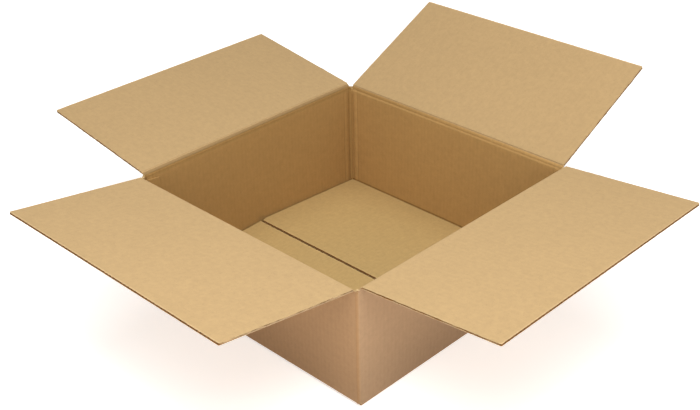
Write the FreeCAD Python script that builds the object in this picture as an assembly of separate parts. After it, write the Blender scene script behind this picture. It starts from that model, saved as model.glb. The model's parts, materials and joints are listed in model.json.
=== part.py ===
import FreeCAD, Part
import math
import os

from FreeCAD import Vector

# An open box folded from one sheet of single-wall corrugated board: a regular
# slotted carton. Its four walls and its closed bottom are one piece, and its
# four top flaps swing on their creases. Millimetres, +Z up. The origin is the
# middle of the underside, on the surface that the box stands on. The front
# wall faces -Y, the right wall +X, the back wall +Y and the left wall -X.

# The space inside the closed box
inner_length = 380.0  # left wall to right wall
inner_width = 380.0  # front wall to back wall
inner_depth = 150.0  # floor to the underside of the closed flaps

# The board: two flat liners with a wavy medium between them
board = 3.0
liner = 0.35
medium = 0.3
flute_pitch = 6.3  # one wave of the medium, as made
flute_lean = 0.28  # share of a wave that one flank of the medium takes

# Folds and cuts
corner_radius = 4.0  # outside of the upright folds
fold_radius = 2.5  # outside of the folds around the bottom
crush_width = 11.5  # strip beside an upright fold where the board is crushed
crush_depth = 1.0
crease_pinch = 1.4  # board left where a flap's crease is pressed
crease_band = 7.0  # strip beside a flap's crease where the board thins towards it
fold_gap = 0.15  # each side of a flap's crease stays this far back from the fold line
layer_gap = 0.3  # between two flaps that lie one on the other
slot_width = 8.0  # cut between two neighbouring flaps, centred on the upright fold
slot_over = 1.0  # how far a slot runs past the crease of the inner flaps

# Length of each kind of flap, from its fold line to its free edge
outer_flap_length = 192.0  # left and right
inner_flap_length = 192.0  # front and back

# How far each top flap stands above level, turned outward
front_angle = 8.9  # degrees
right_angle = 5.6  # degrees
back_angle = 25.8  # degrees
left_angle = 8.5  # degrees

# The floor: the inner bottom flaps spring up a little, and the back one has a worn corner
front_floor_angle = 2.3  # degrees
back_floor_angle = 3.0  # degrees
worn_along_edge = 4.0
worn_along_side = 12.0

# The glued joint: a tab from the front wall, inside the left wall
tab_width = 24.0
tab_thickness = 2.0
tab_end_gap = 0.5
tab_taper = 4.0

# Paper tape under the seam of the outer bottom flaps
tape_width = 50.0
tape_thickness = 0.15
tape_end_gap = 4.0

# Places that follow from the sizes above
reach_x = inner_length / 2 + board
reach_y = inner_width / 2 + board
half_outer_flap = reach_y - slot_width / 2
half_inner_flap = reach_x - slot_width / 2
underside = tape_thickness
inner_underside = underside + board + layer_gap
floor_top = inner_underside + board
inner_fold = floor_top + inner_depth + board
outer_fold = inner_fold + layer_gap + board
spare = 1.0  # how far a cutting shape reaches past what it cuts

SIDES = {
    "right": {"yaw": 0, "reach": reach_x, "half": half_outer_flap},
    "back": {"yaw": 90, "reach": reach_y, "half": half_inner_flap},
    "left": {"yaw": 180, "reach": reach_x, "half": half_outer_flap},
    "front": {"yaw": -90, "reach": reach_y, "half": half_inner_flap},
}
OUTER_SIDES = ("left", "right")


def polygon(points):
    """Closed wire through the given points."""
    return Part.makePolygon(points + points[:1])


def prism(profile, half):
    """Solid with a profile of (x, z) points, from y = -half to y = half."""
    wire = polygon([Vector(x, -half, z) for x, z in profile])
    return Part.Face(wire).extrude(Vector(0, 2 * half, 0))


def block(low, high):
    """Box between two opposite corners."""
    size = [b - a for a, b in zip(low, high)]
    return Part.makeBox(*size, Vector(*low))


def turned(shape, side):
    """The shape, made for the right-hand side, carried round to a side."""
    copy = shape.copy()
    copy.rotate(Vector(0, 0, 0), Vector(0, 0, 1), SIDES[side]["yaw"])
    return copy


def flute_hollow(pitch):
    """Half widths of a hollow between liner and medium, at its wide and narrow ends."""
    rise = board - 2 * liner - medium
    run = flute_lean * pitch
    slant = math.hypot(run, rise)
    narrow = (pitch / 2 - run - medium * (slant - run) / rise) / 2
    return narrow + run, narrow


def flute_count(width):
    """Whole waves of the medium across a panel."""
    return max(2, round(width / flute_pitch))


def cut_board_section(width, x):
    """Face at x across the flutes of a panel; both sides are cut through a hollow."""
    count = flute_count(width)
    pitch = width / count
    half = width / 2
    wide, narrow = flute_hollow(pitch)
    under_top = board - liner
    trough = liner + medium
    crest = under_top - medium
    outline = [(-half, 0), (half, 0), (half, trough), (half - narrow, trough)]
    outline += [(half - wide, under_top), (half, under_top), (half, board)]
    outline += [(-half, board), (-half, under_top), (wide - half, under_top)]
    outline += [(narrow - half, trough), (-half, trough)]
    rings = [outline]
    for k in range(1, count):
        y = k * pitch - half
        rings.append([(y - wide, under_top), (y - narrow, trough),
                      (y + narrow, trough), (y + wide, under_top)])
    for k in range(count):
        y = (k + 0.5) * pitch - half
        rings.append([(y - wide, liner), (y - narrow, crest),
                      (y + narrow, crest), (y + wide, liner)])
    wires = [polygon([Vector(x, y, z) for y, z in ring]) for ring in rings]
    return Part.makeFace(wires, "Part::FaceMakerBullseye")


def top_flap(length, half):
    """Flap lying level and outward from its fold line, inside liner up."""
    near = fold_gap + crease_pinch
    root = near + crease_band
    crushed = prism([(fold_gap, 0), (root, 0), (root, board), (near, crease_pinch)], half)
    fluted = cut_board_section(2 * half, length).extrude(Vector(root - length, 0, 0))
    return crushed.fuse(fluted).removeSplitter()


def hang_flap(flap, side, fold_height, angle):
    """The flap raised by its angle and set on its fold line."""
    placed = flap.copy()
    placed.rotate(Vector(0, 0, 0), Vector(0, 1, 0), -angle)
    placed.translate(Vector(SIDES[side]["reach"], 0, fold_height))
    return turned(placed, side)


def wall_ring():
    """The four walls with rounded upright folds, crushed on the inside."""
    outside = block((-reach_x, -reach_y, underside), (reach_x, reach_y, outer_fold))
    upright = [e for e in outside.Edges if abs(e.tangentAt(e.FirstParameter).z) > 0.5]
    outside = outside.makeFillet(corner_radius, upright)
    half_x = inner_length / 2
    half_y = inner_width / 2
    low = underside - spare
    high = outer_fold + spare
    inside = [block((-half_x, -half_y, low), (half_x, half_y, high))]
    for sx in (-1, 1):
        for sy in (-1, 1):
            near = (half_x - crush_width, half_y - crush_width)
            far = (half_x + crush_depth, half_y + crush_depth)
            xs = sorted((sx * near[0], sx * far[0]))
            ys = sorted((sy * near[1], sy * far[1]))
            inside.append(block((xs[0], ys[0], low), (xs[1], ys[1], high)))
    return outside.cut(inside)


def outer_bottom_flap(side):
    """A flat bottom flap, from its free edge to the wall's outer face."""
    reach = SIDES[side]["reach"]
    half = SIDES[side]["half"]
    low = (reach - outer_flap_length, -half, underside)
    return turned(block(low, (reach, half, underside + board)), side)


def sprung(flap, side, angle):
    """An inner bottom flap, made with its underside at z = 0, set and sprung up about its fold."""
    pivot = Vector(SIDES[side]["reach"] - board, 0, inner_underside)
    flap.translate(Vector(0, 0, inner_underside))
    flap.rotate(pivot, Vector(0, 1, 0), angle)
    return turned(flap, side)


def front_bottom_flap():
    """Its free edge lies under the back flap's, out of sight, so its flutes are left closed."""
    reach = SIDES["front"]["reach"]
    half = SIDES["front"]["half"]
    flap = block((reach - inner_flap_length, -half, 0), (reach - board / 2, half, board))
    return sprung(flap, "front", front_floor_angle)


def back_bottom_flap():
    """Its flutes are open along its free edge and sides, and its left corner is worn off."""
    reach = SIDES["back"]["reach"]
    half = SIDES["back"]["half"]
    edge = reach - inner_flap_length
    root = reach - board - crease_band
    fluted = cut_board_section(2 * half, edge).extrude(Vector(root - edge, 0, 0))
    flap = fluted.fuse(block((root, -half, 0), (reach - board / 2, half, board)))
    worn = [(edge - spare, half - worn_along_edge), (edge, half - worn_along_edge),
            (edge + worn_along_side, half), (edge + worn_along_side, half + spare),
            (edge - spare, half + spare)]
    wire = polygon([Vector(x, y, -spare) for x, y in worn])
    flap = flap.cut(Part.Face(wire).extrude(Vector(0, 0, board + 2 * spare)))
    return sprung(flap, "back", back_floor_angle)


def glue_tab():
    """The tab, crushed thinner than the board, flat against the left wall."""
    low = floor_top + tab_end_gap
    high = floor_top + inner_depth - tab_end_gap
    root = -inner_width / 2 - crush_depth
    tip = tab_width - inner_width / 2
    x = -inner_length / 2 - crush_depth
    outline = [(root, low), (tip, low + tab_taper), (tip, high - tab_taper), (root, high)]
    wire = polygon([Vector(x, y, z) for y, z in outline])
    return Part.Face(wire).extrude(Vector(tab_thickness + crush_depth, 0, 0))


def crease_cutter(side, fold_height):
    """What is cut from a wall's top: it thins towards the crease, and slopes inward from the fold."""
    reach = SIDES[side]["reach"]
    outer_top = fold_height - fold_gap
    pinched = outer_top - crease_pinch
    full = pinched - crease_band
    past = reach - board - crush_depth - spare
    top = outer_fold + spare
    profile = [(past, full), (reach - board, full), (reach - crease_pinch, pinched),
               (reach, outer_top), (reach + spare, outer_top), (reach + spare, top), (past, top)]
    return turned(prism(profile, SIDES[side]["half"]), side)


def fold_cutter(side, height):
    """What is cut from a bottom edge to round it, along the whole side."""
    reach = SIDES[side]["reach"]
    half = max(reach_x, reach_y) + spare
    start = Vector(reach - fold_radius, -half, height)
    end = Vector(reach, -half, height + fold_radius)
    turn = fold_radius * math.sqrt(0.5)
    middle = Vector(start.x + turn, -half, end.z - turn)
    corner = Vector(reach + spare, -half, height - spare)
    edges = [
        Part.Arc(start, middle, end).toShape(),
        Part.makeLine(end, Vector(corner.x, -half, end.z)),
        Part.makeLine(Vector(corner.x, -half, end.z), corner),
        Part.makeLine(corner, Vector(start.x, -half, corner.z)),
        Part.makeLine(Vector(start.x, -half, corner.z), start),
    ]
    cutter = Part.Face(Part.Wire(edges)).extrude(Vector(0, 2 * half, 0))
    return turned(cutter, side)


def slot_cutters():
    """The slots between flaps, at the top and the bottom of each upright fold."""
    cutters = []
    for sx in (-1, 1):
        for sy in (-1, 1):
            xs = sorted((sx * half_inner_flap, sx * (reach_x + spare)))
            ys = sorted((sy * half_outer_flap, sy * (reach_y + spare)))
            top = (inner_fold - slot_over, outer_fold + spare)
            bottom = (underside - spare, inner_underside + slot_over)
            for low, high in (top, bottom):
                cutters.append(block((xs[0], ys[0], low), (xs[1], ys[1], high)))
    return cutters


def inner_wall_base_cutter(side):
    """What is cut below an inner wall, where the outer bottom flaps lie underneath."""
    reach = SIDES[side]["reach"]
    low = (reach - slot_width / 2, -reach_x - spare, underside - spare)
    high = (reach + spare, reach_x + spare, inner_underside)
    return turned(block(low, high), side)


def carton_body():
    """Walls, bottom flaps and glued tab: one folded sheet."""
    pieces = [
        outer_bottom_flap("left"),
        outer_bottom_flap("right"),
        front_bottom_flap(),
        back_bottom_flap(),
        glue_tab(),
    ]
    cutters = slot_cutters()
    for side in SIDES:
        outer = side in OUTER_SIDES
        cutters.append(crease_cutter(side, outer_fold if outer else inner_fold))
        if not outer:
            cutters.append(inner_wall_base_cutter(side))
    walls = wall_ring().cut(cutters)
    body = walls.fuse(pieces)
    for side in SIDES:
        height = underside if side in OUTER_SIDES else inner_underside
        body = body.cut(fold_cutter(side, height))
    return body.removeSplitter()


def bottom_tape():
    """A strip of tape along the seam, stuck to the underside."""
    half = half_outer_flap - tape_end_gap
    return block((-tape_width / 2, -half, 0), (tape_width / 2, half, tape_thickness))


def build():
    inner_flap = top_flap(inner_flap_length, half_inner_flap)
    outer_flap = top_flap(outer_flap_length, half_outer_flap)
    return {
        "carton_body": carton_body(),
        "bottom_tape": bottom_tape(),
        "front_flap": hang_flap(inner_flap, "front", inner_fold, front_angle),
        "back_flap": hang_flap(inner_flap, "back", inner_fold, back_angle),
        "left_flap": hang_flap(outer_flap, "left", outer_fold, left_angle),
        "right_flap": hang_flap(outer_flap, "right", outer_fold, right_angle),
    }


os.makedirs("parts", exist_ok=True)
for name, shape in build().items():
    shape.exportStep(f"parts/{name}.step")
    print(name, "solids", len(shape.Solids), "valid", shape.isValid(),
          "faces", len(shape.Faces), "volume", round(shape.Volume, 1))
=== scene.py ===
import json
import math

import bpy
import numpy as np
from bpy.props import FloatProperty, FloatVectorProperty, PointerProperty
from bpy.types import Operator, Panel, PropertyGroup
from mathutils import Matrix, Vector


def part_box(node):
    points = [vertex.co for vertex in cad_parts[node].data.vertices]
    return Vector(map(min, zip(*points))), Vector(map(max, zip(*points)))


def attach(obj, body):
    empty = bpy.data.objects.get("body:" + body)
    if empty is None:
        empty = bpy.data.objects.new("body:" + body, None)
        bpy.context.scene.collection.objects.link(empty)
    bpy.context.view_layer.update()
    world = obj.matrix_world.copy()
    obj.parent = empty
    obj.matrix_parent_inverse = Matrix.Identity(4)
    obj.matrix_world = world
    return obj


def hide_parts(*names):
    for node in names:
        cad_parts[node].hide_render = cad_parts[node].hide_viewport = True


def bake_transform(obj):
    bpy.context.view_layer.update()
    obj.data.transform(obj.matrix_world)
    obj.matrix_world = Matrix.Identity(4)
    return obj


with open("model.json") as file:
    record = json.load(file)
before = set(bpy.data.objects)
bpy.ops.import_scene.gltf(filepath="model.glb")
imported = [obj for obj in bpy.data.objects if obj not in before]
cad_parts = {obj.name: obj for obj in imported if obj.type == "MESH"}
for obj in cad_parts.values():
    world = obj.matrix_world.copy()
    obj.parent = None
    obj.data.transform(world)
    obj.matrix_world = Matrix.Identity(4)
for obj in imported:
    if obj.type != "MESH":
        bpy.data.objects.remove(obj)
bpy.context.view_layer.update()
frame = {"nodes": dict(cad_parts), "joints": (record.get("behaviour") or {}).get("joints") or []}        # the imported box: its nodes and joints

bl_info = {
    "name": "Open cardboard box",
    "version": (1, 0, 0),
    "blender": (4, 5, 0),
    "location": "3D View > Sidebar > Carton",
    "description": "Dresses a packed slotted carton as corrugated kraft board",
    "category": "Add Mesh",
}

UP = np.array([0.0, 0.0, 1.0])
BODY_LOW, BODY_HIGH = (np.array(corner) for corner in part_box("carton_body"))
JOINTS = {joint["child"]: joint for joint in frame["joints"]}
SIDES = ("right", "back", "left", "front")
OUTER_SIDES = ("right", "left")
# Rub is how much paler, or below 0 darker, the paper is drawn than its tint: rubbed wear, and
# painted light and shade. Painted shade on the liner over each crease at its two ends, painted
# highlights and shade on the flap's lip beside it, and painted light and shade over the whole flap
CREASE_SHADE = {"right": (0.02, 0.02), "back": (-0.05, -0.32), "left": (-0.38, -0.38),
              "front": (0.02, 0.02)}
# Painted highlight along the right and front flaps' folds, painted shade along the back one's
FLAP_LIP_SHADING = {"right": 0.14, "back": -0.05, "left": 0.0, "front": 0.1}
# Painted light and shade over each whole flap: paler on the front, darker on the back and left
FLAP_SHADE_TONE = {"right": 0.0, "back": -0.07, "left": -0.03, "front": 0.03}
# Painted shadow where a bottom flap meets the walls
JOINED_SHADE = -0.5  # where a bottom flap meets the walls
EDGE_RUB = 0.2  # along the last of a free edge, where the knife rubbed it
# Painted shade on the flat in an upright fold's inside corner
BUCKLE_SHADE = -0.24  # on the flat that the buckled liner leaves in an upright fold
EDGE_STRIP = 0.001
# How far the knife rolled the upper liner down and the lower one up, at a flap's two sides
ROLLED = {"right": ((0.12, 0.22), (0.1, 0.1)), "back": ((0.1, 0.1), (0.1, 0.1)),
          "left": ((0.1, 0.1), (0.1, 0.1)), "front": ((0.1, 0.1), (0.2, 0.5))}
TORN = 0.0038  # how far the front crease's liner still hangs on towards the near corner
# Places in a board piece's list of materials
INSIDE, OUTSIDE, WALL_INSIDE_SHADED, FLOOR_INSIDE, CORE, CUT = range(6)


def linear(colour):
    """The linear red, green and blue of an sRGB hex colour."""
    parts = [int(colour[i:i + 2], 16) / 255 for i in (1, 3, 5)]
    return tuple(c / 12.92 if c <= 0.04045 else ((c + 0.055) / 1.055) ** 2.4 for c in parts)


def length(name, about, default):
    """A property for a length in metres."""
    return FloatProperty(name=name, description=about, default=default, min=0.0, precision=5,
                         subtype="DISTANCE", unit="LENGTH")


def angle(name, about, degrees):
    """A property for an angle."""
    return FloatProperty(name=name, description=about, default=math.radians(degrees),
                         subtype="ANGLE", unit="ROTATION")


def colour(name, about, hex_colour):
    """A property for a colour."""
    return FloatVectorProperty(name=name, description=about, default=linear(hex_colour),
                               size=3, min=0.0, max=1.0, subtype="COLOR")


class CartonBoard(PropertyGroup):
    """Sizes of the board, its folds and its cuts."""
    thickness: length("Board", "Thickness of the board", 0.003)
    liner: length("Liner", "Thickness of each flat liner", 0.00035)
    medium: length("Medium", "Thickness of the wavy sheet between the liners", 0.0003)
    pitch: length("Flute pitch", "One wave of the medium", 0.0063)
    washboard: length("Washboard", "How far a liner sags between two flute tips", 0.00006)
    fold_gap: length("Fold gap", "How far the board stays back from a flap's fold line", 0.00015)
    crease_pinch: length("Crease pinch", "Board left where a flap's crease is pressed", 0.0014)
    crease_band: length("Crease band", "Strip beside a crease where the board thins", 0.0017)
    back_band: length("Back crease band", "The same strip on the back wall", 0.003)
    corner_radius: length("Corner radius", "Outside of the upright folds", 0.004)
    fold_radius: length("Fold radius", "Outside of the folds round the bottom", 0.0025)
    crush_width: length("Crush width", "Crushed strip beside an upright fold", 0.0135)
    crush_depth: length("Crush depth", "How deep an upright fold is crushed on the inside", 0.001)
    crush_fill: length("Crush fill", "Legs of the flat that the buckled liner leaves in a fold",
                       0.0042)
    crush_bulge: length("Crush bulge", "How far the liner buckles up in that strip", 0.0004)
    crush_line: length("Crush line", "Depth of the pressed lines beside it", 0.0004)
    slot_over: length("Slot overrun", "How far a slot runs past the inner flaps' crease", 0.001)
    slot_lip: length("Slot lip", "Board left standing above that crease in a top slot", 0.0012)
    layer_gap: length("Layer gap", "Between two flaps that lie one on the other", 0.0003)
    score_line: length("Score line", "Depth of the line beside an upright fold, outside", 0.00015)
    ragged: length("Ragged cut", "How far a slot's torn edge wanders", 0.0006)
    bow: length("Bow", "How far a wall bows between its folds", 0.0007)
    worn_corner: length("Worn corner", "Rounding of the flaps' free corners", 0.0016)


class CartonPaper(PropertyGroup):
    """Colours of the papers."""
    inside: colour("Inside liner", "Kraft liner on the inside of the flaps", "#b7996d")
    # Painted shade: a darker copy of the inside liner for the walls in the box
    wall_inside_shaded: colour("Wall inside", "The same liner inside the box", "#b58f58")
    # Painted light: the inside liner's copy for the bottom flaps
    floor_inside: colour("Floor inside", "The same liner on the bottom flaps", "#b69863")
    outside: colour("Outside liner", "Kraft liner on the outside", "#ac8c6b")
    core: colour("Medium", "Fluting paper between the liners", "#936636")
    cut: colour("Cut edge", "A liner's cut edge", "#cdb184")
    tape: colour("Tape", "Gummed paper tape", "#a27d53")


class CartonStage(PropertyGroup):
    """Camera, floor and lights."""
    azimuth: angle("Azimuth", "Turn of the camera round the box", 44.76)
    elevation: angle("Elevation", "Camera's height above the horizon", 29.783)
    roll: angle("Roll", "Tilt of the camera about its own line of sight", -1.121)
    place: FloatVectorProperty(name="Place", description="Where the camera stands",
                               default=(0.9341, -0.9493, 0.8750), size=3, subtype="TRANSLATION")
    lens: FloatProperty(name="Lens", description="Focal length in mm on a 36 mm sensor",
                        default=60.583, min=1.0)
    floor: colour("Floor", "Plain pale floor", "#f4f3f0")
    floor_size: length("Floor size", "Side of the floor", 8.0)
    glow: FloatProperty(name="Glow", description="Light that comes up through the floor",
                        default=0.56, min=0.0)
    power: FloatProperty(name="Power", description="Scales the lamps", default=1.0, min=0.0)
    sky: FloatProperty(name="Sky", description="Strength of the even light all round",
                       default=0.305, min=0.0)


def noise(seed, at, step, amount):
    """Random heights at even steps along a line, joined by straight runs: from -amount to amount."""
    rng = np.random.default_rng(seed)
    knots = np.arange(at.min() - step, at.max() + 2 * step, step)
    return np.interp(at, knots, rng.uniform(-amount, amount, len(knots)))


def smooth(t):
    """0 below 0, 1 above 1 and 3 t^2 - 2 t^3 between."""
    t = np.clip(t, 0.0, 1.0)
    return t * t * (3 - 2 * t)


class Sheet:
    """A panel's own directions: u away from its fold, v along the fold and w up through the board."""

    def __init__(self, fold, outward, rise):
        self.fold = np.array(fold, float)
        outward = np.array(outward, float)
        self.u = math.cos(rise) * outward + math.sin(rise) * UP
        self.w = -math.sin(rise) * outward + math.cos(rise) * UP
        self.v = np.cross(self.w, self.u)

    def at(self, u, v, w):
        """Points in the box's frame: fold + u U + v V + w W."""
        u, v, w = np.broadcast_arrays(u, v, w)
        return self.fold + u[..., None] * self.u + v[..., None] * self.v + w[..., None] * self.w


class Skin:
    """Gathers grids of points and makes one mesh object of them."""

    def __init__(self):
        self.points, self.faces, self.uvs, self.rubs_and_shades = [], [], [], []
        self.slots, self.smooth = [], []
        self.count = 0

    def add(self, points, faces, uv, slot, is_smooth, rub=0.0):
        """Faces number the points of this call alone. Rub is how much paler or darker the paper
        is drawn at each point: rubbed wear, and painted light and shade."""
        points = points.reshape(-1, 3)
        self.points.append(points)
        self.uvs.append(np.stack(uv, -1).reshape(-1, 2))
        self.rubs_and_shades.append(np.array(np.broadcast_to(rub, len(points))))
        self.faces.append(faces + self.count)
        self.slots.append(np.array(np.broadcast_to(slot, len(faces))))
        self.smooth.append(np.array(np.broadcast_to(is_smooth, len(faces))))
        self.count += len(points)

    def slab(self, top, bottom, uv, slot, under=None, rim=CUT, ring=False, rub=0.0,
             rub_and_shade_under=0.0):
        """Closed skin round the space between two grids of the same shape. The top faces along
        the first direction times the second. A ring joins its last column to its first."""
        rows, cols = top.shape[:2]
        number = np.arange(rows * cols).reshape(rows, cols)
        if ring:
            number = np.concatenate([number, number[:, :1]], 1)
        low = number + rows * cols
        upper = np.stack([number[:-1, :-1], number[1:, :-1], number[1:, 1:], number[:-1, 1:]],
                         -1).reshape(-1, 4)
        lower = upper[:, ::-1] + rows * cols
        rims = [(number[0, :-1], number[0, 1:], low[0, 1:], low[0, :-1]),
                (number[-1, 1:], number[-1, :-1], low[-1, :-1], low[-1, 1:])]
        if not ring:
            rims += [(number[1:, 0], number[:-1, 0], low[:-1, 0], low[1:, 0]),
                     (number[:-1, -1], number[1:, -1], low[1:, -1], low[:-1, -1])]
        edge = np.concatenate([np.stack(r, -1) for r in rims])
        both = [np.tile(np.broadcast_to(x, (rows, cols)).ravel(), 2) for x in uv]
        rubs_and_shades = [np.broadcast_to(x, (rows, cols)).ravel() for x in (rub, rub_and_shade_under)]
        sizes = [len(upper), len(lower), len(edge)]
        self.add(np.concatenate([top.reshape(-1, 3), bottom.reshape(-1, 3)]),
                 np.concatenate([upper, lower, edge]), both,
                 np.repeat([slot, slot if under is None else under, rim], sizes),
                 np.repeat([True, True, False], sizes), np.concatenate(rubs_and_shades))

    def to_object(self, name, materials):
        """One mesh object, sharp where its faces meet at more than 38 degrees, with its board
        coordinates in a UV map and its rub and painted light and shade in an attribute."""
        mesh = bpy.data.meshes.new(name)
        faces = np.concatenate(self.faces)
        mesh.from_pydata(np.concatenate(self.points).tolist(), [], faces.tolist())
        for material in materials:
            mesh.materials.append(material)
        mesh.polygons.foreach_set("material_index", np.concatenate(self.slots).astype(np.int32))
        mesh.polygons.foreach_set("use_smooth", np.concatenate(self.smooth))
        board_map = mesh.uv_layers.new(name="board")
        board_map.data.foreach_set("uv", np.concatenate(self.uvs)[faces.ravel()].ravel())
        rub = mesh.attributes.new("rub", "FLOAT", "POINT")
        rub.data.foreach_set("value", np.concatenate(self.rubs_and_shades).astype(np.float32))
        mesh.set_sharp_from_angle(angle=math.radians(38))
        mesh.update()
        piece = bpy.data.objects.new(name, mesh)
        bpy.context.scene.collection.objects.link(piece)
        return piece


def node(tree, kind, inputs=None, **settings):
    """A node with its settings and its inputs, each a value or another node's output."""
    made = tree.nodes.new(kind)
    for name, value in settings.items():
        setattr(made, name, value)
    for name, value in (inputs or {}).items():
        if isinstance(value, bpy.types.NodeSocket):
            tree.links.new(value, made.inputs[name])
        else:
            made.inputs[name].default_value = value
    return made


def paper(name, tint, flute_shade, cloud, fleck, rough, grit, floor_shade=0.0, rub_and_shade_hue=(0.9, 1.0, 1.2)):
    """Uncoated kraft paper. Its colour is the tint times a few soft patterns: clouds of uneven
    pulp, long fibres lying across the flutes, dark and light flecks, and painted shade along the
    flute lines. A painted shade can darken it towards the floor, and a point attribute adds
    rubbed wear and painted light and shade. It stays matt, with a fine fibrous bump."""
    material = bpy.data.materials.new(name)
    material.use_nodes = True
    tree = material.node_tree
    tree.nodes.clear()
    place = node(tree, "ShaderNodeTexCoord")
    board = node(tree, "ShaderNodeUVMap", uv_map="board").outputs["UV"]
    where = place.outputs["Object"]
    pulp = node(tree, "ShaderNodeTexNoise", {"Vector": where, "Scale": 150.0, "Detail": 4.0,
                                             "Roughness": 0.6})
    patch = node(tree, "ShaderNodeTexNoise", {"Vector": where, "Scale": 9.0, "Detail": 2.0})
    # Fibres lie along the paper web, so they are longer across the flutes than along them
    stretch = node(tree, "ShaderNodeMapping", {"Vector": board, "Scale": (2.2, 9.0, 1.0)})
    fibre = node(tree, "ShaderNodeTexNoise", {"Vector": stretch.outputs["Vector"], "Scale": 1.0,
                                              "Detail": 5.0, "Roughness": 0.65})
    specks = node(tree, "ShaderNodeTexNoise", {"Vector": where, "Scale": 620.0, "Detail": 1.0})
    dark = node(tree, "ShaderNodeMapRange", {"Value": specks.outputs["Fac"], "From Min": 0.28,
                                             "From Max": 0.38, "To Min": 1 - fleck, "To Max": 1.0})
    # Painted shade along the flute lines, patchy with the fibres
    across = node(tree, "ShaderNodeSeparateXYZ", {"Vector": board})
    turn = node(tree, "ShaderNodeMath", {0: across.outputs["X"], 1: 2 * math.pi},
                operation="MULTIPLY")
    wave = node(tree, "ShaderNodeMath", {0: turn.outputs["Value"]}, operation="COSINE")
    tips = node(tree, "ShaderNodeMapRange", {"Value": wave.outputs["Value"], "From Min": -1.0})
    patchy = node(tree, "ShaderNodeMath", {0: tips.outputs["Result"], 1: fibre.outputs["Fac"]},
                  operation="MULTIPLY")
    lines = node(tree, "ShaderNodeMapRange", {"Value": patchy.outputs["Value"], "To Min": 1.0,
                                              "To Max": 1 - 2 * flute_shade})
    ranges = [(pulp.outputs["Fac"], 1 - 1.4 * cloud, 1 + 1.4 * cloud),
              (patch.outputs["Fac"], 1 - 0.3 * cloud, 1 + 0.3 * cloud),
              (fibre.outputs["Fac"], 1 - 0.8 * cloud, 1 + 0.8 * cloud)]
    shade = node(tree, "ShaderNodeMath", {0: dark.outputs["Result"], 1: lines.outputs["Result"]},
                 operation="MULTIPLY").outputs["Value"]
    for value, least, most in ranges:
        spread = node(tree, "ShaderNodeMapRange", {"Value": value, "From Min": 0.3,
                                                   "From Max": 0.7, "To Min": least,
                                                   "To Max": most})
        shade = node(tree, "ShaderNodeMath", {0: shade, 1: spread.outputs["Result"]},
                     operation="MULTIPLY").outputs["Value"]
    # Painted shade: darker towards the floor
    if floor_shade:
        height = node(tree, "ShaderNodeSeparateXYZ", {"Vector": where})
        floor_shade_ramp = node(tree, "ShaderNodeMapRange", {"Value": height.outputs["Z"], "From Min": 0.0,
                                                  "From Max": 0.11, "To Min": 1 - floor_shade,
                                                  "To Max": 1.0}, interpolation_type="SMOOTHSTEP")
        shade = node(tree, "ShaderNodeMath", {0: shade, 1: floor_shade_ramp.outputs["Result"]},
                     operation="MULTIPLY").outputs["Value"]
    plain = node(tree, "ShaderNodeVectorMath", {0: tuple(tint), "Scale": shade},
                 operation="SCALE")
    # Painted shade makes creases, corners and the lines where parts meet darker and browner,
    # painted highlights make lips paler, and rubbed edges are paler too. The three numbers given
    # say how much red, green and blue each take of that
    rub = node(tree, "ShaderNodeAttribute", attribute_name="rub")
    rub_and_shade_colour = node(tree, "ShaderNodeVectorMath", {0: rub_and_shade_hue,
                                                  "Scale": rub.outputs["Fac"]}, operation="SCALE")
    tinted = node(tree, "ShaderNodeVectorMath", {0: plain.outputs["Vector"],
                                                 1: rub_and_shade_colour.outputs["Vector"],
                                                 2: plain.outputs["Vector"]},
                  operation="MULTIPLY_ADD")
    bump = node(tree, "ShaderNodeBump", {"Height": fibre.outputs["Fac"], "Strength": grit,
                                         "Distance": 0.0004})
    surface = node(tree, "ShaderNodeBsdfPrincipled", {"Base Color": tinted.outputs["Vector"],
                                                      "Normal": bump.outputs["Normal"],
                                                      "Roughness": rough, "IOR": 1.47,
                                                      "Specular IOR Level": 0.25})
    node(tree, "ShaderNodeOutputMaterial", {"Surface": surface.outputs["BSDF"]})
    return material


def papers():
    """The board's six finishes, made once, in the order of the place numbers."""
    if "kraft_liner_inside" not in bpy.data.materials:
        tints = bpy.context.scene.carton_paper
        # Kraft liner: pale brown, matt, its long fibres just seen
        paper("kraft_liner_inside", tints.inside, 0.012, 0.035, 0.09, 0.86, 0.25)
        # A darker, browner copy of the same liner for the walls deep in the box: painted shade, with
        # stronger painted shade along the flute lines
        paper("kraft_liner_wall_inside", tints.wall_inside_shaded, 0.03, 0.04, 0.09, 0.86, 0.25)
        # A copy of the same liner for the bottom flaps, tinted for the sky light they see: painted
        # light, paler than the walls' copy
        paper("kraft_liner_floor_inside", tints.floor_inside, 0.02, 0.04, 0.09, 0.86, 0.25)
        # Outside liner: a little redder and smoother, with painted shade darkening it towards the
        # floor
        paper("kraft_liner_outside", tints.outside, 0.03, 0.04, 0.06, 0.8, 0.2, floor_shade=0.18,
              rub_and_shade_hue=(0.65, 1.0, 1.5))
        # Fluting medium: darker recycled paper
        paper("fluting_medium", tints.core, 0.0, 0.08, 0.1, 0.92, 0.4)
        # Cut liner edge: raw pulp, paler than the face
        paper("cut_liner_edge", tints.cut, 0.0, 0.06, 0.05, 0.95, 0.4)
    names = ("kraft_liner_inside", "kraft_liner_outside", "kraft_liner_wall_inside",
             "kraft_liner_floor_inside", "fluting_medium", "cut_liner_edge")
    return [bpy.data.materials[n] for n in names]


def finish_piece(piece, body, *nodes):
    """Rides a finished piece on its body and hides the CAD parts that it stands for."""
    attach(piece, body)
    if nodes:
        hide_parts(*nodes)


def side_directions(side):
    """Outward direction of a side, and the direction along it, turning left."""
    turn = math.radians(90 * SIDES.index(side))
    outward = np.array([math.cos(turn), math.sin(turn), 0.0])
    return outward, np.cross(UP, outward)


def reach(side):
    """How far the outer face of a side stands from the middle."""
    return float(BODY_HIGH[0] if side in OUTER_SIDES else BODY_HIGH[1])


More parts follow.
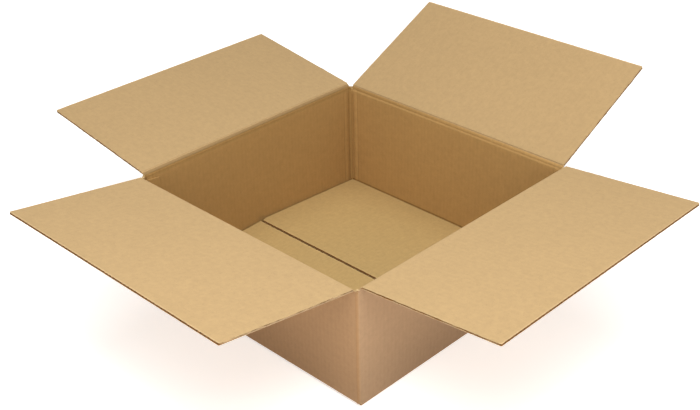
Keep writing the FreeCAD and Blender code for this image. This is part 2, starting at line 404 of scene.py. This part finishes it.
def flap_facts(side):
    """A top flap's sheet, half width and length, worked out from its joint and its CAD box."""
    joint = JOINTS[f"{side}_flap"]
    rise = math.radians(180 - joint["range_deg"][1])
    outward, along = side_directions(side)
    low, high = (np.array(corner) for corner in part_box(f"{side}_flap"))
    half = float(np.abs((high - low) @ along)) / 2
    far = max(low @ outward, high @ outward)
    return Sheet(joint["pos_m"], outward, rise), half, (far - reach(side)) / math.cos(rise)


def fold_height(side):
    """Height of a side's top fold line."""
    return JOINTS[f"{side}_flap"]["pos_m"][2]


def base_height(side):
    """Underside of a side's bottom flap."""
    board = bpy.context.scene.carton_board
    inner = 0.0 if side in OUTER_SIDES else board.thickness + board.layer_gap
    return float(BODY_LOW[2]) + inner


def flute_lines(width, pitch, samples):
    """Even places across a panel, so many to a flute, and its whole number of flutes."""
    count = max(2, round(width / pitch))
    return np.linspace(-width / 2, width / 2, count * samples + 1), count


def fluted_board(skin, sheet, half, start, end, board, seed, open_below=False, crease=True,
                 inside=INSIDE, worn=(0.0, 0.0), rolled=((0.1, 0.1), (0.1, 0.1)), lip=0.0, shade_tone=0.0,
                 crushed=(0.2, -0.3)):
    """A panel of corrugated board from u = start to u = end.

    Each liner is a slab whose face sinks by washboard (1 + cos(2 pi v / pitch)) / 2 between the
    flute tips. Beside a crease the board thins in a smooth ramp. The medium is a slab round
    w = middle - swing cos(2 pi v / pitch), half its own thickness to each side along the
    curve's normal. A torn fringe closes the two slotted sides. Lip is the painted highlight and
    shade along the fold, and tone the painted light and shade all over. Crushed is how far the
    knife filled the free edge's flutes, and how much paler, or below 0 darker, the fill is painted.
    """
    t, liner = board.thickness, board.liner
    v, count = flute_lines(2 * half, board.pitch, 6)
    phase = 2 * math.pi * count * (v + half) / (2 * half) + (math.pi if open_below else 0)
    near = start + (board.crease_pinch if crease else 0.0)
    root = near + board.crease_band
    u = np.concatenate([np.linspace(near, root, 9), root + np.array([0.0012, 0.0026, 0.0045]),
                        np.linspace(root + 0.02, end - 0.002, 5), [end - 0.0008, end]])
    free = end - np.abs(noise(seed, v, 0.004, 0.00024)) - corner_wear(v, half, board.worn_corner)
    along_edge, along_side = worn
    if along_edge:
        free -= along_side * np.clip(1 - (v + half) / along_edge, 0, 1)
    uu = start + (u[:, None] - start) * (free[None, :] - start) / (end - start)
    flute = 2 * half / count
    uv = (np.repeat(((v + half) / flute)[None, :], len(u), 0), uu / flute)
    ramp = smooth((u - near) / board.crease_band)[:, None] if crease else np.ones((len(u), 1))
    fade = smooth((u - root + 0.003) / 0.006)[:, None]
    sag_top = board.washboard * (1 + np.cos(phase)) / 2
    sag_low = board.washboard * (1 - np.cos(phase)) / 2
    side_in = 0.0004  # the faces stop here, and the torn fringe goes on
    vv = np.clip(v, -half + side_in, half - side_in)[None, :]
    top = board.crease_pinch + (t - board.crease_pinch) * ramp - sag_top[None, :] * fade
    low = sag_low[None, :] * fade
    under = uu.copy()
    under[0] = start
    # Painted shadow along a bottom flap's fold and slotted sides, where it meets the walls; painted
    # light and shade along a top flap's fold; the last of the free edge paler where the knife rubbed
    # it; and the tone over the whole panel
    side_line = np.clip((np.abs(v) - half + 0.0022) / 0.0014, 0, 1)
    joined = 0.0 if crease else JOINED_SHADE
    fold_light_and_shade, width = (lip, 0.0016) if crease else (joined, 0.0024)
    rub = (fold_light_and_shade * (1 - smooth((u - near) / width))[:, None] + joined * side_line[None, :]
           + EDGE_RUB * (u > end - EDGE_STRIP)[:, None] + shade_tone)
    skin.slab(sheet.at(uu, vv, top), sheet.at(uu, vv, top - liner), uv, inside, CORE, rub=rub)
    skin.slab(sheet.at(under, vv, low + liner), sheet.at(under, vv, low), uv, CORE, OUTSIDE)
    # The crushed strip beside the crease, solid between the liners
    solid = (u <= root + 1e-9)
    lift = 0.5 * liner
    skin.slab(sheet.at(uu[solid], vv, (top - lift)[solid]),
              sheet.at(under[solid], vv, (low + lift)[solid]),
              [x[solid] for x in uv], CORE, CORE, CORE)
    medium_sheet(skin, sheet, half - side_in, phase, count, (root, free), board, seed + 1, crushed)
    for side, roll in zip((-1, 1), rolled):
        far = end - board.worn_corner - (along_side if side < 0 else 0.0)
        for facing in (1, -1):
            torn_fringe(skin, sheet, side, half, (near, far), facing, board,
                        seed + 3 + side + 7 * facing, inside, roll, joined)


def corner_wear(v, half, radius):
    """How far a free edge falls back where its two corners are rounded."""
    past = np.clip(np.abs(v) - (half - radius), 0, radius)
    return radius - np.sqrt(radius ** 2 - past ** 2)


def medium_sheet(skin, sheet, half, phase_six, count, span, board, seed, crushed):
    """The wavy medium: w = middle - swing cos(phase), twelve points to a wave. Phase_six is the
    phase at the liners' six points to a wave, and span is where the medium starts and the
    liners' free edge."""
    v = np.linspace(-half, half, count * 12 + 1)
    phase = np.interp(v, np.linspace(-half, half, len(phase_six)), phase_six)
    free = np.interp(v, np.linspace(-half, half, len(phase_six)), span[1])
    swing = board.thickness / 2 - board.liner - board.medium / 2
    w = board.thickness / 2 - swing * np.cos(phase)
    slope = swing * np.sin(phase) * 2 * math.pi * count / (2 * half)
    across = board.medium / 2 / np.sqrt(1 + slope ** 2)
    u = np.stack([np.full_like(v, span[0]), free - 0.004,
                  free - 0.0002 - np.abs(noise(seed, v, 0.0021, 0.0003))])
    upper = sheet.at(u, v - slope * across, w + across)
    lower = sheet.at(u, v + slope * across, w - across)
    uv = (np.repeat((v / board.pitch)[None, :], 3, 0), u / board.pitch)
    skin.slab(upper, lower, uv, CORE, CORE, CORE)
    # The knife crushed the flutes: a slab up from the lower liner, past the wave, by a share
    # of what is left to the upper liner. The number given with the share paints it paler, or
    # below 0 darker: painted light on the bottom flaps' edges, which sit in shade under the
    # upper liner
    share, rub = crushed
    shut = np.stack([u[1], np.maximum(u[2], free - 0.0003)])
    room = board.thickness - board.liner - (w - across)
    filled = np.maximum(w - across, board.liner) + share * room
    skin.slab(sheet.at(shut, v, filled[None, :]),
              sheet.at(shut, v, np.full_like(shut, board.liner)), [x[1:] for x in uv], CORE,
              CORE, CORE, rub=rub, rub_and_shade_under=rub)


def torn_fringe(skin, sheet, side, half, span, facing, board, seed, inside, roll, rub):
    """A liner's torn side: a narrow slab whose outer line wanders as noise does. The upper
    liner rolls down over the cut, and the lower one up, each by its share of the thickness."""
    u = np.linspace(span[0], span[1], 200)
    wander = (noise(seed, u, 0.009, board.ragged * 0.6)
              + noise(seed + 50, u, 0.0025, board.ragged * 0.4))
    across = np.linspace(0, 1, 5)[None, :]
    inner, edge = half - 0.0014, (half - 0.0002 + wander)[:, None]
    reach_out = inner + (edge - inner) * np.sin(across * math.pi / 2)
    if side < 0:
        reach_out = -reach_out[:, ::-1]
        across = across[:, ::-1]
    half_thick = board.liner * 0.4 - 0.00003
    level = board.thickness - board.liner / 2 if facing > 0 else board.liner / 2
    down, up = roll
    fall = (down if facing > 0 else -up) * board.thickness + noise(seed + 90, u, 0.006, 0.0004)
    droop = -fall[:, None] * across ** 3
    # Beside the crease the fringe follows the thinning board
    thin = smooth((u - span[0]) / board.crease_band)[:, None]
    if facing > 0:
        droop = droop - (board.thickness - board.crease_pinch) * (1 - thin)
    uu = np.repeat(u[:, None], 5, 1)
    upper, lower = level + half_thick + droop, level - half_thick + droop
    uv = ((reach_out + half) / board.pitch, uu / board.pitch)
    # On a top flap the upper fringe is a little paler; on a bottom flap it takes the painted shadow
    # where it meets the wall; its outer part is darker
    shown = np.where(across < 0.8, 0.06 if rub == 0.0 else rub, rub - 0.25)
    skin.slab(sheet.at(uu, reach_out, upper), sheet.at(uu, reach_out, lower), uv,
              inside if facing > 0 else CORE, OUTSIDE if facing < 0 else CORE,
              rub=shown if facing > 0 else rub)


def crushed_corner(d, board):
    """How far the inner liner stands out from the wall at a distance d from an upright fold,
    and the painted light and shade on it. The liner buckles to a flat of its own across the
    corner, then bulges and settles, with a thin pressed line on each side of the bulge. The flat
    and the lines get painted shade, and the bulge painted light."""
    past = (d - board.crush_fill) / (board.crush_width - board.crush_fill)
    bulge = np.where((past > 0) & (past < 1), np.sin(math.pi * np.clip(past, 0, 1)) ** 2, 0.0)
    line_reach, first_reach = 0.0006, 0.0008
    lines = sum(np.exp(-((d - at) / line_reach) ** 2)
                for at in (board.crush_fill, board.crush_width))
    out = (np.clip(board.crush_fill - d, 0, None) + board.crush_bulge * bulge
           - board.crush_line * lines)
    first = np.exp(-((d - board.crush_fill) / first_reach) ** 2)
    # Painted light on the bulge, painted shade on the flat and the pressed lines, deepest on the
    # first
    bulge_light, first_line_shade, line_shade = 0.05, -0.3, -0.12
    band = bulge_light * ((past > 0.08) & (past < 0.92)) + BUCKLE_SHADE * (past < -0.08)
    return out, band + first_line_shade * first + line_shade * (lines - first)


def wall_columns(board):
    """Columns round the walls, turning left from the right wall: outer and inner points, how
    the crushing moves the inner ones and the painted light and shade on them, the painted shade
    on the outside, the flute number, each column's four heights, its crease band, and 1 on the
    flat stretches.

    A flat stretch holds whole flutes and carries the washboard. A corner is a quarter circle
    outside and, where the board is crushed inside, a straight line across the two walls."""
    columns = []
    first_flute = 0.0
    low_slot = base_height("front") + board.slot_over
    high_slot = fold_height("front") + board.slot_lip
    for side in SIDES:
        outward, along = side_directions(side)
        next_side = SIDES[(SIDES.index(side) + 1) % 4]
        face, half = reach(side), reach(next_side) - board.corner_radius
        v, count = flute_lines(2 * half, board.pitch, 6)
        inner_half = half + board.corner_radius - board.thickness
        line = inner_half - board.crush_fill + np.linspace(-0.002, 0.002, 11)
        edge = inner_half - board.crush_width + np.linspace(-0.0015, 0.0015, 7)
        v = np.union1d(v, np.concatenate([-line, line, -edge, edge]))
        v = v[np.abs(v) <= half]
        phase = 2 * math.pi * count * (v + half) / (2 * half)
        d = inner_half - np.abs(v)
        flat = smooth((d - board.crush_width) / 0.004)
        out = (face - board.washboard * (1 + np.cos(phase)) / 2 * flat
               - board.score_line * np.exp(-((half - np.abs(v) - 0.0012) / 0.0007) ** 2))
        inn = face - board.thickness + board.washboard * (1 - np.cos(phase)) / 2 * flat
        push, dark = crushed_corner(d, board)
        # Painted shade: the two walls that show are darker and browner away from the corner between
        # them, where the flaps above shade them, and the other two are a little darker all over
        far = (v + half) / (2 * half)
        shade_tone = {"right": -0.03 - 0.1 * far ** 2, "front": -0.2 - 0.22 * (1 - far) ** 2}
        top, low = fold_height(side) - board.fold_gap, base_height(side)
        heights = [top, top - board.crease_pinch, low + board.fold_radius,
                   low + board.thickness / 2]
        band = board.back_band if side == "back" else board.crease_band
        columns.append((out[:, None] * outward + v[:, None] * along,
                        inn[:, None] * outward + v[:, None] * along,
                        -push[:, None] * outward, dark, shade_tone.get(side, -0.05 + 0 * v),
                        first_flute + (v + half) / (2 * half) * count,
                        np.repeat([heights], len(v), 0), np.full(len(v), band),
                        np.ones(len(v))))
        # Round each corner the outside arc gets painted shade, deepest on the side of the wall it
        # follows
        theta = np.radians(np.linspace(1.5, 88.5, 9))[:, None]
        centre = (face - board.corner_radius) * outward + half * along
        ray = np.cos(theta) * outward + np.sin(theta) * along
        small = board.corner_radius - board.thickness
        flat_across = (2 * small - board.crush_fill) / (np.cos(theta) + np.sin(theta))
        # The inside flat across the corner gets painted shade
        columns.append((centre + board.corner_radius * ray, centre + small * ray,
                        (flat_across - small) * ray, np.full(9, BUCKLE_SHADE),
                        -0.06 - 0.22 * smooth((1.3 - theta[:, 0]) / 0.7),
                        first_flute + count + np.linspace(0.1, 0.9, 9),
                        np.repeat([[high_slot, high_slot, low_slot, low_slot]], 9, 0),
                        np.full(9, board.crease_band), np.zeros(9)))
        first_flute += count + 1
    return [np.concatenate(parts) for parts in zip(*columns)]


class CARTON_OT_walls(Operator):
    """Four walls in one ring, with rounded upright folds, washboard faces and thinned tops"""
    bl_idname = "carton.walls"
    bl_label = "Walls"

    def execute(self, context):
        board = context.scene.carton_board
        outer, inner, press, dark, shade_tone, flutes, heights, band, is_flat = wall_columns(board)
        tall = 0.15  # about the walls' height, which turns a crease band into a share of it
        share = np.concatenate([np.linspace(0, 1, 8)[:-1, None] * band / tall,
                                np.repeat([[0.04], [0.06], [0.09], [0.16], [0.27], [0.4], [0.55],
                                           [0.7], [0.85], [0.94], [0.972], [0.98], [0.985],
                                           [0.99], [1.0]],
                                          len(band), 1)])
        z_out = heights[:, 0] + share * (heights[:, 2] - heights[:, 0])
        z_in = heights[:, 1] + share * (heights[:, 3] - heights[:, 1])
        # Towards the top crease the inner face draws back as the board thins
        outwards = outer * [1.0, 1.0, 0.0]
        corner = np.abs(outwards).max(1)[:, None]
        slack = 0.0008  # more than the washboard and the pressed lines move a wall's face
        outwards = np.where(np.abs(outwards) >= corner - slack, np.sign(outwards), 0.0)
        thin = (board.thickness - board.crease_pinch) * is_flat
        thin = thin * (1 - smooth((heights[:, 1] - z_in) / band))
        # A wall bows a little between its folds: a half wave up and a half wave across
        near_fold = np.abs(outer[:, :2]).min(1) / reach("right")
        bow = board.bow * np.sin(math.pi * share) * np.cos(math.pi / 2 * near_fold) * is_flat
        # The crushing starts below the top crease
        crush = 0.3 + 0.7 * smooth(share / 0.06)
        skin = Skin()
        upper = outer + bow[..., None] * outwards
        lower = inner + (bow + thin)[..., None] * outwards + crush[..., None] * press
        upper[..., 2], lower[..., 2] = z_out, z_in
        is_back = outer[:, 1] > np.abs(outer[:, 0])
        is_left = outer[:, 0] < -np.abs(outer[:, 1])
        # Painted shade: the liner is darker on the pressed band below the top crease, along the back
        # wall's foot where the floor meets it, and all over the left wall; the bulge's painted light
        # shows only on the back wall
        back_lip_shade, lip_shade, left_shade, foot_shade = -0.14, -0.4, -0.12, -0.45
        foot_start, foot_run = 0.972, 0.01
        lip = np.where(is_back, back_lip_shade, lip_shade) * is_flat
        lip = lip * (1 - smooth(share * tall / band - 1))
        bulge_shown = np.where(is_back, dark, np.minimum(dark, 0.0)) + left_shade * is_left
        foot = foot_shade * is_back * smooth((share - foot_start) / foot_run)
        uv = (np.broadcast_to(flutes, z_out.shape), z_out / board.pitch)
        skin.slab(upper, lower, uv, OUTSIDE, WALL_INSIDE_SHADED, CUT, ring=True, rub=shade_tone,
                  rub_and_shade_under=crush * bulge_shown + lip + foot)
        for side in SIDES:
            self.bottom_fold(skin, side, board)
        piece = skin.to_object("walls", papers())
        finish_piece(piece, "carton", "carton_body")
        return {"FINISHED"}

    def bottom_fold(self, skin, side, board):
        """The rounded fold under a wall: a quarter circle, carried along the side."""
        outward, along = side_directions(side)
        half = flap_facts(side)[1]
        v, count = flute_lines(2 * half, board.pitch, 3)
        low, r = base_height(side), board.fold_radius
        theta = np.radians(np.linspace(-6, 100, 9))[:, None]
        skin_depth = 0.0009
        small = r - skin_depth
        centre = reach(side) - r
        rows = []
        for radius in (r, small):
            out = centre + radius * np.cos(theta)
            height = low + r - radius * np.sin(theta)
            rows.append(out[..., None] * outward + v[None, :, None] * along
                        + height[..., None] * UP)
        uv = (np.broadcast_to((v + half) / board.pitch, (9, len(v))),
              np.broadcast_to(theta, (9, len(v))))
        skin.slab(rows[0], rows[1], uv, OUTSIDE, CORE, CORE)


class CARTON_OT_top_flaps(Operator):
    """The four top flaps, each a panel of corrugated board standing open on its crease"""
    bl_idname = "carton.top_flaps"
    bl_label = "Top flaps"

    def execute(self, context):
        board = context.scene.carton_board
        for number, side in enumerate(SIDES):
            sheet, half, end = flap_facts(side)
            skin = Skin()
            fluted_board(skin, sheet, half, board.fold_gap, end, board, 100 * number + 11,
                         open_below=side in ("front", "back"), rolled=ROLLED[side],
                         lip=FLAP_LIP_SHADING[side], shade_tone=FLAP_SHADE_TONE[side])
            piece = skin.to_object(f"{side}_top_flap", papers())
            finish_piece(piece, f"{side}_flap", f"{side}_flap")
        return {"FINISHED"}


class CARTON_OT_bottom_flaps(Operator):
    """The four bottom flaps folded in, the back one sprung up at its free edge"""
    bl_idname = "carton.bottom_flaps"
    bl_label = "Bottom flaps"

    def execute(self, context):
        board = context.scene.carton_board
        bottom = context.scene.carton_bottom
        springs = {"front": bottom.front_rise, "back": bottom.back_rise}
        for number, side in enumerate(SIDES):
            outward, _ = side_directions(side)
            _, half, end = flap_facts(side)
            fold = reach(side) * outward + base_height(side) * UP
            start = board.fold_radius
            if side in springs:
                fold = fold - board.thickness * outward
                start, end = 0.0, end - board.thickness
            skin = Skin()
            sheet = Sheet(fold, -outward, springs.get(side, 0.0))
            worn = (bottom.worn_edge, bottom.worn_side) if side == "back" else (0.0, 0.0)
            fluted_board(skin, sheet, half, start, end, board, 1000 + 100 * number,
                         crease=False, inside=FLOOR_INSIDE, worn=worn, crushed=(0.4, 0.35))
            piece = skin.to_object(f"{side}_bottom_flap", papers())
            finish_piece(piece, "carton")
        return {"FINISHED"}


class CartonBottom(PropertyGroup):
    """How the bottom flaps lie, and the glued tab."""
    front_rise: angle("Front rise", "How far the front bottom flap springs up", 2.3)
    back_rise: angle("Back rise", "How far the back bottom flap springs up", 2.78)
    worn_edge: length("Worn edge", "Worn corner of the back bottom flap, along its edge", 0.004)
    worn_side: length("Worn side", "The same corner, along its side", 0.012)
    tab_width: length("Tab width", "Glued tab inside the left wall", 0.024)
    tab_thickness: length("Tab thickness", "Glued tab, crushed thinner than the board", 0.002)
    tab_taper: length("Tab taper", "How much shorter the tab is at its tip", 0.004)
    tab_gap: length("Tab gap", "Between the tab's ends and the flaps above and below", 0.0005)


class CARTON_OT_glue_tab(Operator):
    """The glued tab that joins the front wall to the inside of the left wall"""
    bl_idname = "carton.glue_tab"
    bl_label = "Glue tab"

    def execute(self, context):
        board = context.scene.carton_board
        size = context.scene.carton_bottom
        root = -(reach("front") - board.thickness) - board.crush_depth
        tip = -(reach("front") - board.thickness) + size.tab_width
        low = base_height("front") + board.thickness + size.tab_gap
        high = fold_height("front") - board.thickness - size.tab_gap
        y = np.linspace(root, tip, 19)[:, None]
        share = np.linspace(0, 1, 13)[None, :]
        pull = size.tab_taper * (y - root) / (tip - root)
        z = low + pull + share * (high - low - 2 * pull)
        y = np.broadcast_to(y, z.shape)
        face = -(reach("left") - board.thickness)
        tip_ramp, tip_share = 0.003, 0.45  # the tab thins to this share of itself at its tip
        thin = smooth((tip - y) / tip_ramp)
        relief = board.washboard * 0.5 * (1 + np.cos(2 * math.pi * y / board.pitch))
        x = face + size.tab_thickness * (tip_share + (1 - tip_share) * thin) - relief
        top = np.stack([x, y, z], -1)
        back = np.stack([np.full_like(x, face - board.crush_depth / 2), y, z], -1)
        skin = Skin()
        # Painted shade: the tab is darker than the wall, deepest along the step at its tip, and its
        # back darker still
        rub = -0.1 - 0.1 * np.exp(-((y - tip) / 0.002) ** 2)
        skin.slab(top, back, (y / board.pitch, z / board.pitch), WALL_INSIDE_SHADED, CORE, WALL_INSIDE_SHADED,
                  rub=rub, rub_and_shade_under=-0.2)
        piece = skin.to_object("glue_tab", papers())
        finish_piece(piece, "carton")
        return {"FINISHED"}


class CARTON_OT_creases(Operator):
    """The liners carried over each top crease, inside and outside, so that no fold gapes"""
    bl_idname = "carton.creases"
    bl_label = "Creases"

    def execute(self, context):
        board = context.scene.carton_board
        for side in SIDES:
            sheet, half, _ = flap_facts(side)
            self.inside(side, sheet, half, board)
            self.outside(side, sheet, half, board)
        return {"FINISHED"}

    def strip(self, name, side, path, half, board, slot, ends):
        """A thin strip: a path in the plane across the fold, carried along the fold. The path
        keeps the face on its left, and the strip is thickened to its right."""
        outward, along = side_directions(side)
        fold = np.array(JOINTS[f"{side}_flap"]["pos_m"], float)
        v, _ = flute_lines(2 * (half - 0.0003), board.pitch, 3)
        if name == "front_crease_inside":
            v = np.append(v, v[-1] + TORN)
        run = np.gradient(path, axis=0)
        left = np.stack([-run[:, 1], run[:, 0]], 1) / np.linalg.norm(run, axis=1)[:, None]

        def carried(points):
            return (fold + points[:, 0, None, None] * outward + points[:, 1, None, None] * UP
                    + v[None, :, None] * along)

        top, low = carried(path), carried(path - 0.5 * board.liner * left)
        uv = (np.broadcast_to((v + half) / board.pitch, top.shape[:2]),
              np.broadcast_to(np.linspace(0, 2, len(path))[:, None], top.shape[:2]))
        # Painted shade on the inside liner over the crease, deepest along the left crease and the
        # back one's left end, and a touch paler on the right and front
        rub = 0.0 if slot == OUTSIDE else np.interp(v, [-half, half], CREASE_SHADE[side])
        skin = Skin()
        skin.slab(top, low, uv, slot, CORE, rub=rub)
        piece = skin.to_object(name, papers())
        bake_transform(piece)

    def inside(self, side, sheet, half, board):
        """From the wall's inner face to the flap's: a cubic curve that leaves each along its own
        slope, with both ends tucked under the faces."""
        outward, _ = side_directions(side)
        across = np.array([sheet.u @ outward, sheet.u[2]])
        through = np.array([sheet.w @ outward, sheet.w[2]])
        pinch, gap = board.crease_pinch, board.fold_gap
        wall_edge = np.array([-pinch, -pinch - gap])
        flap_edge = (pinch + gap) * across + pinch * through
        pull = 0.9 * pinch
        s = np.linspace(0, 1, 13)[:, None]
        one, two = wall_edge + pull * np.array([0.0, 1.0]), flap_edge - pull * across
        curve = ((1 - s) ** 3 * wall_edge + 3 * s * (1 - s) ** 2 * one
                 + 3 * s * s * (1 - s) * two + s ** 3 * flap_edge)
        tuck = 0.0006
        path = np.concatenate([[wall_edge + [0.4 * tuck, -tuck]], curve,
                               [flap_edge + tuck * across - 0.4 * tuck * through]])
        self.strip(f"{side}_crease_inside", side, path, half, board,
                   WALL_INSIDE_SHADED if side == "back" else INSIDE,
                   (wall_edge, flap_edge))

    def outside(self, side, sheet, half, board):
        """From the wall's outer face, across the fold line, to the flap's underside."""
        outward, _ = side_directions(side)
        across = np.array([sheet.u @ outward, sheet.u[2]])
        through = np.array([sheet.w @ outward, sheet.w[2]])
        gap, tuck = board.fold_gap, 0.0006
        wall_edge, flap_edge = np.array([0.0, -gap]), gap * across
        middle = 0.3 * (wall_edge + flap_edge)
        path = np.array([wall_edge + [-0.3 * tuck, -tuck], wall_edge, middle, flap_edge,
                         flap_edge + tuck * across + 0.3 * tuck * through])
        self.strip(f"{side}_crease_outside", side, path[::-1], half, board, OUTSIDE,
                   (wall_edge, flap_edge))


class CARTON_OT_tape(Operator):
    """Gummed paper tape along the seam underneath"""
    bl_idname = "carton.tape"
    bl_label = "Tape"

    def execute(self, context):
        # Gummed kraft tape: smoother and redder than the board, with a slight sheen
        tape = paper("gummed_kraft_tape", context.scene.carton_paper.tape, 0.0, 0.03, 0.04, 0.55,
                     0.1)
        carried = frame["nodes"]["bottom_tape"]
        carried.data.materials.clear()
        carried.data.materials.append(tape)
        return {"FINISHED"}


LAMPS = {  # softbox: watts, side in metres, place
    "overhead": (21.5, 2.0, (0.0, 0.0, 2.2)),
    "near": (11.5, 0.8, (0.5, -0.5, 1.2)),
    "low": (12.0, 1.4, (1.45, -1.75, 0.75)),
    "right": (3.0, 1.2, (2.0, 0.8, 1.3)),
}


class CARTON_OT_stage(Operator):
    """A plain pale floor, soft light from above and in front, and the camera"""
    bl_idname = "carton.stage"
    bl_label = "Stage"

    def execute(self, context):
        stage = context.scene.carton_stage
        self.floor(stage)
        for name, (watts, size, place) in LAMPS.items():
            self.softbox(name, watts * stage.power, size, place)
        world = bpy.data.worlds.new("even_light")
        context.scene.world = world
        world.use_nodes = True
        world.node_tree.nodes["Background"].inputs["Color"].default_value = (1, 1, 1, 1)
        world.node_tree.nodes["Background"].inputs["Strength"].default_value = stage.sky
        self.camera(context, stage)
        context.scene.view_settings.view_transform = "Standard"
        return {"FINISHED"}

    def floor(self, stage):
        side = np.linspace(-stage.floor_size / 2, stage.floor_size / 2, 3)
        x, y = np.meshgrid(side, side, indexing="ij")
        points = np.stack([x, y, np.zeros_like(x)], -1)
        skin = Skin()
        number = np.arange(9).reshape(3, 3)
        faces = np.stack([number[:-1, :-1], number[1:, :-1], number[1:, 1:], number[:-1, 1:]], -1)
        skin.add(points, faces.reshape(-1, 4), (x, y), 0, False)
        material = bpy.data.materials.new("pale_floor")
        material.use_nodes = True
        surface = material.node_tree.nodes["Principled BSDF"]
        surface.inputs["Base Color"].default_value = (*stage.floor, 1)
        surface.inputs["Roughness"].default_value = 0.9
        # The floor is a light table, so that shadows stay faint, as on the photo's plain ground
        surface.inputs["Emission Color"].default_value = (1, 1, 1, 1)
        surface.inputs["Emission Strength"].default_value = stage.glow
        skin.to_object("floor", [material])

    def softbox(self, name, watts, size, place):
        """A square lamp that faces the middle of the box."""
        lamp = bpy.data.lights.new(name, "AREA")
        lamp.energy, lamp.size = watts, size
        made = bpy.data.objects.new(name, lamp)
        bpy.context.scene.collection.objects.link(made)
        toward = Vector((0.0, 0.0, 0.1)) - Vector(place)
        turn = toward.to_track_quat("-Z", "Y").to_matrix().to_4x4()
        made.matrix_world = Matrix.Translation(place) @ turn

    def camera(self, context, stage):
        """Looks along the given azimuth and elevation, rolled about its line of sight."""
        a, e, r = stage.azimuth, stage.elevation, stage.roll
        back = np.array([math.sin(a) * math.cos(e), -math.cos(a) * math.cos(e), math.sin(e)])
        level = np.array([math.cos(a), math.sin(a), 0.0])
        upright = np.cross(back, level)
        right = math.cos(r) * level + math.sin(r) * upright
        up = -math.sin(r) * level + math.cos(r) * upright
        data = bpy.data.cameras.new("camera")
        data.lens, data.sensor_width = stage.lens, 36.0
        data.clip_start, data.clip_end = 0.05, 50.0
        made = bpy.data.objects.new("camera", data)
        context.scene.collection.objects.link(made)
        turn = Matrix(np.stack([right, up, back], 1).tolist()).to_4x4()
        made.matrix_world = Matrix.Translation(stage.place) @ turn
        context.scene.camera = made


class CARTON_PT_panel(Panel):
    """Sizes and colours, and a button for each piece"""
    bl_idname = "CARTON_PT_panel"
    bl_label = "Cardboard box"
    bl_space_type = "VIEW_3D"
    bl_region_type = "UI"
    bl_category = "Carton"

    def draw(self, context):
        for group in (context.scene.carton_board, context.scene.carton_bottom,
                      context.scene.carton_paper, context.scene.carton_stage):
            box = self.layout.box()
            for name in group.bl_rna.properties.keys():
                if name not in ("rna_type", "name"):
                    box.prop(group, name)
        for operator in OPERATORS:
            self.layout.operator(operator.bl_idname)


GROUPS = {"carton_board": CartonBoard, "carton_bottom": CartonBottom, "carton_paper": CartonPaper,
          "carton_stage": CartonStage}
OPERATORS = (CARTON_OT_walls, CARTON_OT_top_flaps, CARTON_OT_bottom_flaps, CARTON_OT_glue_tab,
             CARTON_OT_creases, CARTON_OT_tape, CARTON_OT_stage)


def register():
    for cls in (*GROUPS.values(), *OPERATORS, CARTON_PT_panel):
        bpy.utils.register_class(cls)
    for name, group in GROUPS.items():
        setattr(bpy.types.Scene, name, PointerProperty(type=group))


def unregister():
    for name in GROUPS:
        delattr(bpy.types.Scene, name)
    for cls in (CARTON_PT_panel, *reversed(OPERATORS), *GROUPS.values()):
        bpy.utils.unregister_class(cls)


def main():
    register()
    bpy.ops.carton.walls()
    bpy.ops.carton.top_flaps()
    bpy.ops.carton.bottom_flaps()
    bpy.ops.carton.glue_tab()
    bpy.ops.carton.creases()
    bpy.ops.carton.tape()
    bpy.ops.carton.stage()


if __name__ == "__main__":
    main()
